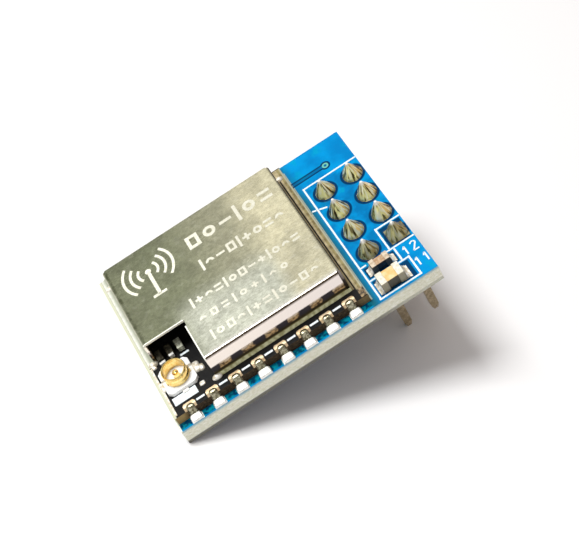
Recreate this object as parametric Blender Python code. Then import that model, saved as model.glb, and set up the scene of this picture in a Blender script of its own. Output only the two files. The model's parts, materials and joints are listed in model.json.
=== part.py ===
"""A shielded radio module soldered on a plug-in carrier board, with a 2 by 4 pin header under it.

It lies as it comes to rest on a table: on the carrier board's left lower edge and the tips of the
inner column of pins. Board frame: X along the board towards the header, Y away, Z out of its top.
"""

import math

import bmesh
import bpy
from mathutils import Vector

# Lengths are in metres.
# Clearance between pieces that touch; the whole object is only 25 mm long.
SEAT_GAP = 0.00002

# Pin header: a 2 by 4 block of square pins under the right end of the carrier.
PIN_PITCH = 0.00254
PIN_COLUMNS = 2
PIN_ROWS = 4
PIN_WIDTH = 0.00064
PIN_TIP_WIDTH = 0.00034
PIN_TIP_TAPER = 0.0006
PIN_FREE_LENGTH = 0.0059
PIN_TAIL_RISE = 0.0013
PIN_TAIL_TAPER = 0.0009
PIN_TAIL_TIP_WIDTH = 0.0002
PIN_HOLE_DIAMETER = 0.00102
HEADER_WIDTH = 0.0045
HEADER_HEIGHT = 0.00254
HEADER_CHAMFER = 0.00035

# Solder cones over the pin tails, with four soft ridges above the pin's corners.
CONE_BASE_DIAMETER = 0.0017
CONE_TOP_DIAMETER = 0.00034
CONE_CAP = 0.0002
CONE_RIDGE = 0.06
CONE_SEGMENTS = 32

# Module board with a row of castellated half holes along each long side.
CASTELLATIONS = 8
CASTELLATION_PITCH = 0.0020
CASTELLATION_END = 0.0015
CASTELLATION_RADIUS = 0.00035
MODULE_WIDTH = 0.0160
MODULE_THICKNESS = 0.0008

# Solder joint in each half hole: a foot on the carrier's pad and a fillet up the hole.
JOINT_FOOT_OVERHANG = 0.0001
JOINT_FOOT_REACH = 0.00048
JOINT_FOOT_HEIGHT = 0.0001
JOINT_CROWN = 0.00012
JOINT_TOP_SETBACK = 0.00015

# Carrier board: margins around the module, and the strip that the header takes.
MODULE_EDGE_INSET = 0.0001
MODULE_SIDE_MARGIN = 0.0007
HEADER_SPACING = 0.00196
HEADER_EDGE = 0.0010
CARRIER_THICKNESS = 0.0016

# Shield can: one stamped sheet, folded down on four sides, with a notch for the socket.
SHIELD_END_MARGIN = 0.0008
SHIELD_ROW_MARGIN = 0.0013
SHIELD_HEIGHT = 0.00234
SHEET_THICKNESS = 0.0002
BEND_INNER_RADIUS = 0.00005
NOTCH_LENGTH = 0.0035
NOTCH_WIDTH = 0.0044
NOTCH_RELIEF_LENGTH = 0.00015
NOTCH_RELIEF_WIDTH = 0.0006

# Coaxial antenna socket in the shield's notch.
SOCKET_FROM_END = 0.00184
SOCKET_FROM_ROW = 0.00314
SOCKET_SIDE = 0.0026
SOCKET_CORNER = 0.0003
SOCKET_HOUSING_HEIGHT = 0.00035
SOCKET_RING_DIAMETER = 0.0020
SOCKET_RING_WALL = 0.00013
SOCKET_RING_HEIGHT = 0.0009
SOCKET_RING_GROOVE = 0.00006
SOCKET_TAB_WIDTH = 0.0007
SOCKET_TAB_THICKNESS = 0.00012
SOCKET_TAB_REACH = 0.00025
SOCKET_PIN_DIAMETER = 0.0005
SOCKET_PIN_HEIGHT = 0.0006

# Chips on the module board, under the shield.
CHIP_SIDE = 0.0060
CHIP_HEIGHT = 0.0009
CHIP_OFFSET = 0.0006
CHIP_SPACING = 0.0006
CRYSTAL_LENGTH = 0.0025
CRYSTAL_WIDTH = 0.0032
CRYSTAL_HEIGHT = 0.0007
SWITCH_LENGTH = 0.00125
SWITCH_WIDTH = 0.0020
SWITCH_HEIGHT = 0.0008
PART_LENGTH = 0.0010
PART_WIDTH = 0.0005
PART_HEIGHT = 0.0005
PART_PITCH = 0.00087
PART_FROM_END = 0.00056
PART_SETBACK = 0.00005

# Two capacitors in front of the header: the far one is the smaller.
FAR_CAPACITOR = (0.0016, 0.0008, 0.0008)
NEAR_CAPACITOR = (0.0020, 0.00125, 0.0010)
CAPACITOR_SHIFT = 0.0002
CAPACITOR_TO_CONE = 0.00065
CAPACITOR_SPACING = 0.00082
TERMINATION_SHARE = 0.27
TERMINATION_WALL = 0.00003
FILLET_REACH = 0.0003
FILLET_SHARE = 0.6

# Smooth round shapes.
ARC_STEPS = 8
ROUND_SEGMENTS = 40
CHIP_BEVEL = 0.00004

# Sizes that follow from the ones above.
MODULE_LENGTH = (CASTELLATIONS - 1) * CASTELLATION_PITCH + 2 * CASTELLATION_END
HEADER_SPAN = (PIN_COLUMNS - 1) * PIN_PITCH
CARRIER_LENGTH = (
    MODULE_EDGE_INSET + MODULE_LENGTH + HEADER_SPACING + HEADER_SPAN + HEADER_EDGE
)
CARRIER_WIDTH = MODULE_WIDTH + 2 * MODULE_SIDE_MARGIN
CARRIER_UNDERSIDE = -CARRIER_THICKNESS
HEADER_TOP = CARRIER_UNDERSIDE - SEAT_GAP
PIN_TIP_Z = HEADER_TOP - HEADER_HEIGHT - PIN_FREE_LENGTH
HEADER_X = CARRIER_LENGTH / 2 - HEADER_EDGE - HEADER_SPAN / 2
INNER_COLUMN_X = HEADER_X - HEADER_SPAN / 2
NEAREST_ROW_Y = -(PIN_ROWS - 1) * PIN_PITCH / 2
MODULE_X = -CARRIER_LENGTH / 2 + MODULE_EDGE_INSET + MODULE_LENGTH / 2
SHIELD_LENGTH = MODULE_LENGTH - 2 * SHIELD_END_MARGIN
SHIELD_WIDTH = MODULE_WIDTH - 2 * SHIELD_ROW_MARGIN
BEND_OUTER_RADIUS = BEND_INNER_RADIUS + SHEET_THICKNESS
MODULE_TOP = MODULE_THICKNESS + SEAT_GAP


# Materials


def material(name, color, roughness, metallic=0.0):
    made = bpy.data.materials.new(name)
    made.use_nodes = True
    shader = made.node_tree.nodes["Principled BSDF"]
    shader.inputs["Base Color"].default_value = (*color, 1.0)
    shader.inputs["Roughness"].default_value = roughness
    shader.inputs["Metallic"].default_value = metallic
    made.diffuse_color = (*color, 1.0)
    return made


def make_materials():
    return {
        "blue_mask": material("blue_solder_mask", (0.0, 0.26, 0.68), 0.35),
        "black_mask": material("black_solder_mask", (0.012, 0.012, 0.013), 0.35),
        "shield": material("nickel_silver_sheet", (0.55, 0.52, 0.44), 0.3, 1.0),
        "solder": material("tin_solder", (0.72, 0.70, 0.66), 0.25, 1.0),
        "pin": material("gilded_brass", (0.62, 0.45, 0.24), 0.3, 1.0),
        "black_plastic": material("black_nylon", (0.015, 0.015, 0.016), 0.5),
        "white_plastic": material("white_nylon", (0.85, 0.83, 0.76), 0.45),
        "gold": material("gold_plating", (0.95, 0.66, 0.22), 0.2, 1.0),
        "chip": material("black_epoxy", (0.02, 0.02, 0.022), 0.5),
        "can": material("crystal_can", (0.6, 0.58, 0.54), 0.3, 1.0),
        "ceramic": material("tan_ceramic", (0.55, 0.38, 0.16), 0.45),
        "resistive": material("grey_ceramic", (0.3, 0.29, 0.27), 0.5),
        "termination": material("tinned_end", (0.78, 0.76, 0.71), 0.35, 1.0),
    }


# Mesh helpers


def new_mesh(name, bm):
    """A mesh from bm with outward faces, smooth where the surface is round."""
    bmesh.ops.recalc_face_normals(bm, faces=bm.faces)
    mesh = bpy.data.meshes.new(name)
    bm.to_mesh(mesh)
    bm.free()
    mesh.shade_smooth()
    mesh.set_sharp_from_angle(angle=math.radians(35))
    return mesh


def place(name, mesh, parent, at=(0, 0, 0), turn=0.0, finish=None):
    """An object for mesh, at a place and a turn about Z in its parent's frame."""
    thing = bpy.data.objects.new(name, mesh)
    bpy.context.collection.objects.link(thing)
    thing.parent = parent
    thing.location = at
    thing.rotation_euler = (0, 0, turn)
    if finish and not mesh.materials:
        mesh.materials.append(finish)
    return thing


def loft(rings, closed=False):
    """A skin over rings with equally many points: capped at both ends, or closed on itself."""
    bm = bmesh.new()
    loops = [[bm.verts.new(point) for point in ring] for ring in rings]
    pairs = list(zip(loops, loops[1:]))
    if closed:
        pairs.append((loops[-1], loops[0]))
    else:
        bm.faces.new(loops[0])
        bm.faces.new(loops[-1])
    for lower, upper in pairs:
        for i in range(len(lower)):
            j = (i + 1) % len(lower)
            bm.faces.new((lower[i], lower[j], upper[j], upper[i]))
    return bm


def prism(outline, bottom, top):
    """A plan outline drawn up from one height to another."""
    return loft([[(x, y, z) for x, y in outline] for z in (bottom, top)])


def rectangle(length, width, x=0.0, y=0.0):
    return [
        (x + sx * length / 2, y + sy * width / 2)
        for sx, sy in ((-1, -1), (1, -1), (1, 1), (-1, 1))
    ]


def arc(x, y, radius, start, end, steps=ARC_STEPS):
    """Points on an arc about (x, y), both ends included; the angles are in degrees."""
    angles = [math.radians(start + (end - start) * i / steps) for i in range(steps + 1)]
    return [(x + radius * math.cos(a), y + radius * math.sin(a)) for a in angles]


def rounded_rectangle(length, width, radius, steps=ARC_STEPS):
    x, y = length / 2 - radius, width / 2 - radius
    return (
        arc(x, y, radius, 0, 90, steps)
        + arc(-x, y, radius, 90, 180, steps)
        + arc(-x, -y, radius, 180, 270, steps)
        + arc(x, -y, radius, 270, 360, steps)
    )


def revolve(profile, segments=ROUND_SEGMENTS, closed=False):
    """A profile of (radius, height) points turned about Z."""
    angles = [2 * math.pi * i / segments for i in range(segments)]
    return loft(
        [[(r * math.cos(a), r * math.sin(a), z) for a in angles] for r, z in profile],
        closed,
    )


def square_ring(half, z, segments):
    """A square of the given half width, as points at equal angles."""
    ring = []
    for i in range(segments):
        angle = 2 * math.pi * i / segments
        x, y = math.cos(angle), math.sin(angle)
        reach = half / max(abs(x), abs(y))
        ring.append((x * reach, y * reach, z))
    return ring


def join_shapes(bm, other):
    """Adds the second bmesh's separate bodies to the first, for a cutter."""
    scratch = bpy.data.meshes.new("scratch")
    other.to_mesh(scratch)
    other.free()
    bm.from_mesh(scratch)
    bpy.data.meshes.remove(scratch)
    return bm


def tool(target, name, bm, operation):
    """A hidden helper object that is cut from, or united with, the target."""
    helper = place(name, new_mesh(name, bm), target.parent, target.location)
    helper.rotation_euler = target.rotation_euler
    helper.hide_render = True
    helper.display_type = "WIRE"
    change = target.modifiers.new(operation.lower(), "BOOLEAN")
    change.operation = operation
    change.solver = "EXACT"
    change.object = helper
    return helper


def soften(thing, width, segments=2):
    bevel = thing.modifiers.new("soft_edges", "BEVEL")
    bevel.width = width
    bevel.segments = segments
    bevel.limit_method = "ANGLE"
    return bevel


def frame(name, parent=None, at=(0, 0, 0)):
    empty = bpy.data.objects.new(name, None)
    bpy.context.collection.objects.link(empty)
    empty.parent = parent
    empty.location = at
    return empty


# Carrier board and header


def pin_places():
    """Header holes in the board frame, from the far inner pin to the near outer one."""
    return [
        (INNER_COLUMN_X + column * PIN_PITCH, NEAREST_ROW_Y + row * PIN_PITCH)
        for row in reversed(range(PIN_ROWS))
        for column in range(PIN_COLUMNS)
    ]


def make_carrier(board, looks):
    outline = rectangle(CARRIER_LENGTH, CARRIER_WIDTH)
    mesh = new_mesh("carrier_board", prism(outline, CARRIER_UNDERSIDE, 0))
    carrier = place("carrier_board", mesh, board, finish=looks["blue_mask"])
    holes = bmesh.new()
    for x, y in pin_places():
        ring = arc(x, y, PIN_HOLE_DIAMETER / 2, 0, 345, 23)
        holes = join_shapes(holes, prism(ring, 2 * CARRIER_UNDERSIDE, CARRIER_THICKNESS))
    tool(carrier, "pin_hole_cutter", holes, "DIFFERENCE")


def header_outline():
    """The plastic block seen from above: a chamfer at each corner and a notch between pins."""
    half_x = HEADER_WIDTH / 2
    half_y = PIN_ROWS * PIN_PITCH / 2
    side = []
    for i in range(PIN_ROWS):
        start = -half_y + i * PIN_PITCH
        side.append((half_x - HEADER_CHAMFER, start))
        side.append((half_x, start + HEADER_CHAMFER))
        side.append((half_x, start + PIN_PITCH - HEADER_CHAMFER))
    side.append((half_x - HEADER_CHAMFER, half_y))
    return side + [(-x, -y) for x, y in side]


def make_header(board, looks):
    at = (HEADER_X, 0, 0)
    block = prism(header_outline(), HEADER_TOP - HEADER_HEIGHT, HEADER_TOP)
    body = place(
        "header_body", new_mesh("header_body", block), board, at, 0, looks["black_plastic"]
    )
    holes = bmesh.new()
    side = PIN_WIDTH + 2 * SEAT_GAP
    for x, y in pin_places():
        hole = rectangle(side, side, x - HEADER_X, y)
        holes = join_shapes(holes, prism(hole, HEADER_TOP - 2 * HEADER_HEIGHT, 0))
    tool(body, "header_hole_cutter", holes, "DIFFERENCE")


def pin_mesh():
    """A square pin with a tapered tip and a finer, pointed tail."""
    stations = (
        (PIN_TIP_WIDTH, PIN_TIP_Z),
        (PIN_WIDTH, PIN_TIP_Z + PIN_TIP_TAPER),
        (PIN_WIDTH, PIN_TAIL_RISE - PIN_TAIL_TAPER),
        (PIN_TAIL_TIP_WIDTH, PIN_TAIL_RISE),
    )
    rings = [[(x, y, z) for x, y in rectangle(w, w)] for w, z in stations]
    return new_mesh("header_pin", loft(rings))


def cone_mesh():
    """Solder drawn up over a pin's tail, hollow where the tail stands in it."""
    apex = PIN_TAIL_RISE + CONE_CAP
    cavity = [
        (PIN_TAIL_TIP_WIDTH / 2 + SEAT_GAP, PIN_TAIL_RISE + SEAT_GAP),
        (PIN_WIDTH / 2 + SEAT_GAP, PIN_TAIL_RISE - PIN_TAIL_TAPER),
        (PIN_WIDTH / 2 + SEAT_GAP, SEAT_GAP),
    ]
    rings = [square_ring(half, z, CONE_SEGMENTS) for half, z in cavity]
    base, top = CONE_BASE_DIAMETER / 2, CONE_TOP_DIAMETER / 2
    shares = (0.0, 0.05, 0.2, 0.45, 0.7, 0.88, 0.97, 1.0)
    for share in shares:
        fall = 1 - share
        radius = top + (base - top) * fall
        if share == 1.0:
            radius = top * 0.4
        ring = []
        for i in range(CONE_SEGMENTS):
            angle = 2 * math.pi * i / CONE_SEGMENTS
            ridge = 1 - CONE_RIDGE * math.cos(4 * angle) * min(1.0, 2 * share)
            reach = radius * ridge
            z = SEAT_GAP + share * (apex - SEAT_GAP)
            ring.append((reach * math.cos(angle), reach * math.sin(angle), z))
        rings.append(ring)
    return new_mesh("header_solder", loft(rings))


def make_pins(board, looks):
    pin, cone = pin_mesh(), cone_mesh()
    for number, (x, y) in enumerate(pin_places(), 1):
        place(f"header_pin_{number}", pin, board, (x, y, 0), 0, looks["pin"])
        place(f"header_solder_{number}", cone, board, (x, y, 0), 0, looks["solder"])


# Module board and its solder joints


def castellation_xs():
    first = -MODULE_LENGTH / 2 + CASTELLATION_END
    return [first + i * CASTELLATION_PITCH for i in range(CASTELLATIONS)]


def module_outline():
    """The board's plan, with half holes bitten out of its two long sides."""
    half_x, half_y = MODULE_LENGTH / 2, MODULE_WIDTH / 2
    near = [(-half_x, -half_y)]
    for x in castellation_xs():
        near += arc(x, -half_y, CASTELLATION_RADIUS, 180, 0)
    near.append((half_x, -half_y))
    return near + [(-x, -y) for x, y in near]


def make_module_board(module, looks):
    mesh = new_mesh("module_board", prism(module_outline(), 0, MODULE_THICKNESS))
    place("module_board", mesh, module, finish=looks["black_mask"])


def joint_mesh():
    """Solder in a half hole: its foot lies on -Y of the board's edge, its column on +Y."""
    radius = CASTELLATION_RADIUS - SEAT_GAP
    half = CASTELLATION_RADIUS + JOINT_FOOT_OVERHANG
    corner = JOINT_FOOT_OVERHANG
    outer = -JOINT_FOOT_REACH
    outline = arc(0, 0, radius, 0, 180, 10)
    outline += [(-radius, -SEAT_GAP), (-half, -SEAT_GAP)]
    outline += arc(-half + corner, outer + corner, corner, 180, 270, 3)
    outline += arc(half - corner, outer + corner, corner, 270, 360, 3)
    outline += [(half, -SEAT_GAP), (radius, -SEAT_GAP)]
    centre = Vector((0, -JOINT_FOOT_REACH / 2))
    column_top = MODULE_THICKNESS - JOINT_TOP_SETBACK

    def ring(scale, lift):
        points = []
        for x, y in outline:
            spot = centre + (Vector((x, y)) - centre) * scale
            climb = max(0.0, spot.y + SEAT_GAP) / radius
            height = JOINT_FOOT_HEIGHT + (column_top - JOINT_FOOT_HEIGHT) * climb
            points.append((spot.x, spot.y, height + lift))
        return points

    foot = [(x, y, 0) for x, y in outline]
    crown = JOINT_CROWN
    rings = [foot, ring(1, 0), ring(0.8, 0.7 * crown), ring(0.45, crown)]
    return new_mesh("castellation_solder", loft(rings))


def make_castellation_joints(board, looks):
    joint = joint_mesh()
    for side, turn in ((-1, 0.0), (1, math.pi)):
        row = "near" if side < 0 else "far"
        for number, x in enumerate(castellation_xs(), 1):
            at = (MODULE_X + x, side * MODULE_WIDTH / 2, SEAT_GAP)
            name = f"castellation_solder_{row}_{number}"
            place(name, joint, board, at, turn, looks["solder"])


# Shield can


def shield_mesh():
    """The can's outer skin as one open sheet, folded down along its walls."""
    x, y = SHIELD_LENGTH / 2, SHIELD_WIDTH / 2
    bend = BEND_OUTER_RADIUS
    notch_x, notch_y = -x + NOTCH_LENGTH, -y + NOTCH_WIDTH
    flat = [
        (notch_x, -y + bend),
        (x - bend, -y + bend),
        (x - bend, y - bend),
        (-x + bend, y - bend),
        (-x + bend, notch_y),
        (notch_x + NOTCH_RELIEF_LENGTH, notch_y),
        (notch_x + NOTCH_RELIEF_LENGTH, notch_y - NOTCH_RELIEF_WIDTH),
        (notch_x, notch_y - NOTCH_RELIEF_WIDTH),
    ]
    walls = ((0, (0, -1)), (1, (1, 0)), (2, (0, 1)), (3, (-1, 0)))
    bm = bmesh.new()
    corners = [bm.verts.new((px, py, SHIELD_HEIGHT)) for px, py in flat]
    bm.faces.new(corners)
    for start, (out_x, out_y) in walls:
        previous = (corners[start], corners[start + 1])
        steps = [
            (bend * math.sin(a), SHIELD_HEIGHT - bend + bend * math.cos(a))
            for a in (math.radians(90 * i / 6) for i in range(1, 7))
        ]
        steps.append((bend, 0.0))
        for out, z in steps:
            edge = tuple(
                bm.verts.new((v.co.x + out_x * out, v.co.y + out_y * out, z))
                for v in (corners[start], corners[start + 1])
            )
            bm.faces.new((previous[0], edge[0], edge[1], previous[1]))
            previous = edge
    bmesh.ops.recalc_face_normals(bm, faces=bm.faces)
    mesh = bpy.data.meshes.new("shield_can")
    bm.to_mesh(mesh)
    bm.free()
    mesh.shade_smooth()
    mesh.set_sharp_from_angle(angle=math.radians(35))
    return mesh


def make_shield(module, looks):
    can = place(
        "shield_can", shield_mesh(), module, (0, 0, MODULE_TOP), 0, looks["shield"]
    )
    sheet = can.modifiers.new("sheet", "SOLIDIFY")
    sheet.thickness = SHEET_THICKNESS
    sheet.offset = -1
    sheet.use_even_offset = True
    sheet.use_rim = True


# Antenna socket


def make_socket(module, looks):
    at = (
        -MODULE_LENGTH / 2 + SOCKET_FROM_END,
        -MODULE_WIDTH / 2 + SOCKET_FROM_ROW,
        MODULE_TOP,
    )
    ring_outer = SOCKET_RING_DIAMETER / 2
    ring_inner = ring_outer - SOCKET_RING_WALL
    slot = SOCKET_TAB_WIDTH + 2 * SEAT_GAP
    roof = SOCKET_TAB_THICKNESS + SEAT_GAP
    tab_end = SOCKET_SIDE / 2 + SOCKET_TAB_REACH

    # White moulded housing, with side slots for the ring's legs and a channel for the pin's foot.
    outline = rounded_rectangle(SOCKET_SIDE, SOCKET_SIDE, SOCKET_CORNER, 1)
    housing = place(
        "socket_housing",
        new_mesh("socket_housing", prism(outline, 0, SOCKET_HOUSING_HEIGHT)),
        module,
        at,
        0,
        looks["white_plastic"],
    )
    cuts = bmesh.new()
    leg_inner = ring_inner - SEAT_GAP
    leg_run = SOCKET_SIDE - leg_inner
    for side in (-1, 1):
        leg = rectangle(leg_run, slot, side * (leg_inner + leg_run / 2))
        cuts = join_shapes(cuts, prism(leg, -roof, 2 * SOCKET_HOUSING_HEIGHT))
    foot_start = SOCKET_PIN_DIAMETER / 2 + SEAT_GAP
    channel = rectangle(
        2 * foot_start, SOCKET_SIDE + foot_start, 0, (foot_start - SOCKET_SIDE) / 2
    )
    cuts = join_shapes(cuts, prism(channel, -roof, roof))
    tool(housing, "socket_slot_cutter", cuts, "DIFFERENCE")
    bore = arc(0, 0, foot_start, 0, 345, 23)
    tool(housing, "socket_bore_cutter", prism(bore, -roof, 2 * SOCKET_HOUSING_HEIGHT), "DIFFERENCE")

    # Outer contact: a turned ring with a groove and a lip, on two legs that end in tabs.
    base = SOCKET_HOUSING_HEIGHT + SEAT_GAP
    rim = base + SOCKET_RING_HEIGHT
    waist = ring_outer - SOCKET_RING_GROOVE
    profile = [
        (ring_inner, base),
        (ring_outer, base),
        (ring_outer, base + 0.2 * SOCKET_RING_HEIGHT),
        (waist, base + 0.35 * SOCKET_RING_HEIGHT),
        (waist, base + 0.65 * SOCKET_RING_HEIGHT),
        (ring_outer, base + 0.8 * SOCKET_RING_HEIGHT),
        (ring_outer, rim - 0.3 * SOCKET_RING_WALL),
        (ring_outer - 0.3 * SOCKET_RING_WALL, rim),
        (ring_inner + 0.3 * SOCKET_RING_WALL, rim),
        (ring_inner, rim - 0.3 * SOCKET_RING_WALL),
    ]
    contact = place(
        "socket_outer_contact",
        new_mesh("socket_outer_contact", revolve(profile, closed=True)),
        module,
        at,
        0,
        looks["gold"],
    )
    for side, label in ((-1, "left"), (1, "right")):
        section = [
            (ring_inner, 0),
            (tab_end, 0),
            (tab_end, SOCKET_TAB_THICKNESS),
            (ring_outer, SOCKET_TAB_THICKNESS),
            (ring_outer, base + 0.1 * SOCKET_RING_HEIGHT),
            (ring_inner, base + 0.1 * SOCKET_RING_HEIGHT),
        ]
        half = SOCKET_TAB_WIDTH / 2
        leg = loft([[(side * x, y, z) for x, z in section] for y in (-half, half)])
        tool(contact, f"socket_leg_{label}", leg, "UNION")

    # Centre contact: a round pin with a flat foot that runs out to the near side.
    pin_radius = SOCKET_PIN_DIAMETER / 2
    pin = revolve(
        [
            (pin_radius, 0),
            (pin_radius, SOCKET_HOUSING_HEIGHT + SOCKET_PIN_HEIGHT - pin_radius / 2),
            (0.8 * pin_radius, SOCKET_HOUSING_HEIGHT + SOCKET_PIN_HEIGHT - pin_radius / 6),
            (0.4 * pin_radius, SOCKET_HOUSING_HEIGHT + SOCKET_PIN_HEIGHT),
        ],
        24,
    )
    centre = place(
        "socket_centre_contact",
        new_mesh("socket_centre_contact", pin),
        module,
        at,
        0,
        looks["gold"],
    )
    foot = rectangle(2 * pin_radius, tab_end, 0, -tab_end / 2)
    tool(centre, "socket_foot", prism(foot, 0, SOCKET_TAB_THICKNESS), "UNION")


# Chips and small parts on the module board


def make_block(name, size, parent, at, looks, turn=0.0):
    length, width, height = size
    mesh = new_mesh(name, prism(rectangle(length, width), 0, height))
    block = place(name, mesh, parent, at, turn, looks)
    soften(block, CHIP_BEVEL)
    return block


def make_chips(module, looks):
    chip_end = CHIP_OFFSET + CHIP_SIDE / 2
    chip_start = CHIP_OFFSET - CHIP_SIDE / 2
    at = (CHIP_OFFSET, 0, MODULE_TOP)
    make_block("radio_chip", (CHIP_SIDE, CHIP_SIDE, CHIP_HEIGHT), module, at, looks["chip"])
    at = (chip_end + CHIP_SPACING + CRYSTAL_LENGTH / 2, 0, MODULE_TOP)
    size = (CRYSTAL_LENGTH, CRYSTAL_WIDTH, CRYSTAL_HEIGHT)
    make_block("crystal", size, module, at, looks["can"])
    at = (chip_start - CHIP_SPACING - SWITCH_LENGTH / 2, CHIP_SIDE / 4, MODULE_TOP)
    size = (SWITCH_LENGTH, SWITCH_WIDTH, SWITCH_HEIGHT)
    make_block("antenna_switch", size, module, at, looks["chip"])


def make_matching_parts(module, looks):
    """Three small parts side by side, each lying along Y across the notch's far edge."""
    at_x = -SHIELD_LENGTH / 2 + PART_FROM_END
    at_y = -SHIELD_WIDTH / 2 + NOTCH_WIDTH + PART_SETBACK
    size = (PART_LENGTH, PART_WIDTH, PART_HEIGHT)
    for number, finish in enumerate(("ceramic", "ceramic", "resistive"), 1):
        at = (at_x + (number - 1) * PART_PITCH, at_y, MODULE_TOP)
        make_block(f"matching_part_{number}", size, module, at, looks[finish], math.pi / 2)


# Capacitors on the carrier board


def make_capacitor(label, size, board, at, looks):
    """A ceramic block in two tinned end cups, with a solder fillet at each end."""
    length, width, height = size
    shell = TERMINATION_WALL + SEAT_GAP
    inner = (length - 2 * shell, width - 2 * shell, height - 2 * shell)
    x, y, z = at
    make_block(f"{label}_body", inner, board, (x, y, z + shell), looks["ceramic"])
    cup_length = TERMINATION_SHARE * length
    for side, end in ((-1, "left"), (1, "right")):
        cup_at = (x + side * (length - cup_length) / 2, y, z)
        cup = make_block(
            f"{label}_end_{end}", (cup_length, width, height), board, cup_at, looks["termination"]
        )
        reach = 2 * cup_length
        pocket = rectangle(
            reach, width - 2 * TERMINATION_WALL, side * (cup_length / 2 - TERMINATION_WALL - reach / 2)
        )
        shape = prism(pocket, TERMINATION_WALL, height - TERMINATION_WALL)
        tool(cup, f"{label}_pocket_{end}", shape, "DIFFERENCE")
        place(
            f"{label}_fillet_{end}",
            fillet_mesh(width, FILLET_SHARE * height),
            board,
            (x + side * (length / 2 + SEAT_GAP), y, z),
            0 if side > 0 else math.pi,
            looks["solder"],
        )


def fillet_mesh(width, height):
    """A hollow solder fillet that climbs an end face at X = 0 and runs out along +X."""
    toe = 0.1 * height
    section = [(0, 0), (FILLET_REACH, 0), (FILLET_REACH, toe)]
    for i in range(1, 6):
        a = math.radians(90 * i / 6)
        section.append(
            (FILLET_REACH * (1 - math.sin(a)), toe + (height - toe) * (1 - math.cos(a)))
        )
    section.append((0, height))
    ends = (-width / 2, width / 2)
    return new_mesh("fillet", loft([[(x, y, z) for x, z in section] for y in ends]))


def make_capacitors(board, looks):
    x = INNER_COLUMN_X + CAPACITOR_SHIFT
    far_y = NEAREST_ROW_Y - CONE_BASE_DIAMETER / 2 - CAPACITOR_TO_CONE - FAR_CAPACITOR[1] / 2
    near_y = far_y - FAR_CAPACITOR[1] / 2 - CAPACITOR_SPACING - NEAR_CAPACITOR[1] / 2
    make_capacitor("far_capacitor", FAR_CAPACITOR, board, (x, far_y, SEAT_GAP), looks)
    make_capacitor("near_capacitor", NEAR_CAPACITOR, board, (x, near_y, SEAT_GAP), looks)


# Rest pose


def rest_tilt():
    """The angle at which the board lies on its left lower edge and the inner pins' tips."""
    drop = CARRIER_UNDERSIDE - PIN_TIP_Z
    run = CARRIER_LENGTH / 2 + INNER_COLUMN_X - PIN_TIP_WIDTH / 2
    return math.atan2(drop, run)


def stand_on_origin(board):
    """Moves the board frame so that the whole part's box stands on the origin."""
    bpy.context.view_layer.update()
    graph = bpy.context.evaluated_depsgraph_get()
    points = []
    for thing in bpy.context.scene.objects:
        if thing.type == "MESH" and not thing.hide_render:
            mesh = thing.evaluated_get(graph).to_mesh()
            points += [thing.matrix_world @ vertex.co for vertex in mesh.vertices]
            thing.evaluated_get(graph).to_mesh_clear()
    low = Vector([min(p[axis] for p in points) for axis in range(3)])
    high = Vector([max(p[axis] for p in points) for axis in range(3)])
    board.location = (-(low.x + high.x) / 2, -(low.y + high.y) / 2, -low.z)


def main():
    for thing in list(bpy.data.objects):
        bpy.data.objects.remove(thing, do_unlink=True)
    looks = make_materials()
    board = frame("board_frame")
    board.rotation_euler = (0, -rest_tilt(), 0)
    module = frame("module_frame", board, (MODULE_X, 0, SEAT_GAP))
    make_carrier(board, looks)
    make_header(board, looks)
    make_pins(board, looks)
    make_module_board(module, looks)
    make_castellation_joints(board, looks)
    make_shield(module, looks)
    make_socket(module, looks)
    make_chips(module, looks)
    make_matching_parts(module, looks)
    make_capacitors(board, looks)
    stand_on_origin(board)


main()
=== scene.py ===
"""Looks for the radio module: finishes, printed marks, solder and light around the fixed CAD frame.

Pieces are written in the board frame, in millimetres: x runs along the carrier board, y across it,
and z up from its top face.
"""

import json
import math
import random

import bmesh
import bpy
from mathutils import Matrix, Vector


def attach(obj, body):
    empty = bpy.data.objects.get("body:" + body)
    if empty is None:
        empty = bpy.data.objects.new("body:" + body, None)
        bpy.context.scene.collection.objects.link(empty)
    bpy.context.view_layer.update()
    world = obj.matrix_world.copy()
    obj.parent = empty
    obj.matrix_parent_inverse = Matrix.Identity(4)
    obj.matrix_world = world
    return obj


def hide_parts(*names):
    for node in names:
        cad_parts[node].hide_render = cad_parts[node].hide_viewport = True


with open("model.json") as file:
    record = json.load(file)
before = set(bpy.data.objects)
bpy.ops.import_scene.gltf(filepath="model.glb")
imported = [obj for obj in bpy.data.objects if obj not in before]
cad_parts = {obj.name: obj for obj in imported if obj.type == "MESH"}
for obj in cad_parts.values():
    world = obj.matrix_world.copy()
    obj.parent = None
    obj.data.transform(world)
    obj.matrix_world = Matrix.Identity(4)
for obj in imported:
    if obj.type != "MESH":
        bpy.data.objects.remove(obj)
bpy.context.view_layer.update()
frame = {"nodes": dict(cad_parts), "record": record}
nodes = frame["nodes"]

# The board frame, from the record's mount under the pin header.
SEAT_X = 9.03
SEAT_DEPTH = 4.16
seat = next(m for m in frame["record"]["mounts"] if m["name"] == "header_seat")
BOARD_Z = -Vector(seat["axis"])
BOARD_X = Vector((BOARD_Z.z, 0, -BOARD_Z.x))
BOARD_Y = BOARD_Z.cross(BOARD_X)
ORIGIN = Vector(seat["pos_m"]) - BOARD_X * SEAT_X / 1000 + BOARD_Z * SEAT_DEPTH / 1000
TURN = Matrix((BOARD_X, BOARD_Y, BOARD_Z)).transposed()
BOARD = Matrix.Translation(ORIGIN) @ TURN.to_4x4() @ Matrix.Scale(0.001, 4)
BACK = BOARD.inverted()


def board_box(name):
    """Lowest and highest corner of a CAD node in board millimetres, to a hundredth."""
    points = [BACK @ v.co for v in nodes[name].data.vertices]
    low = [round(min(p[i] for p in points), 2) for i in range(3)]
    high = [round(max(p[i] for p in points), 2) for i in range(3)]
    return low, high


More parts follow.
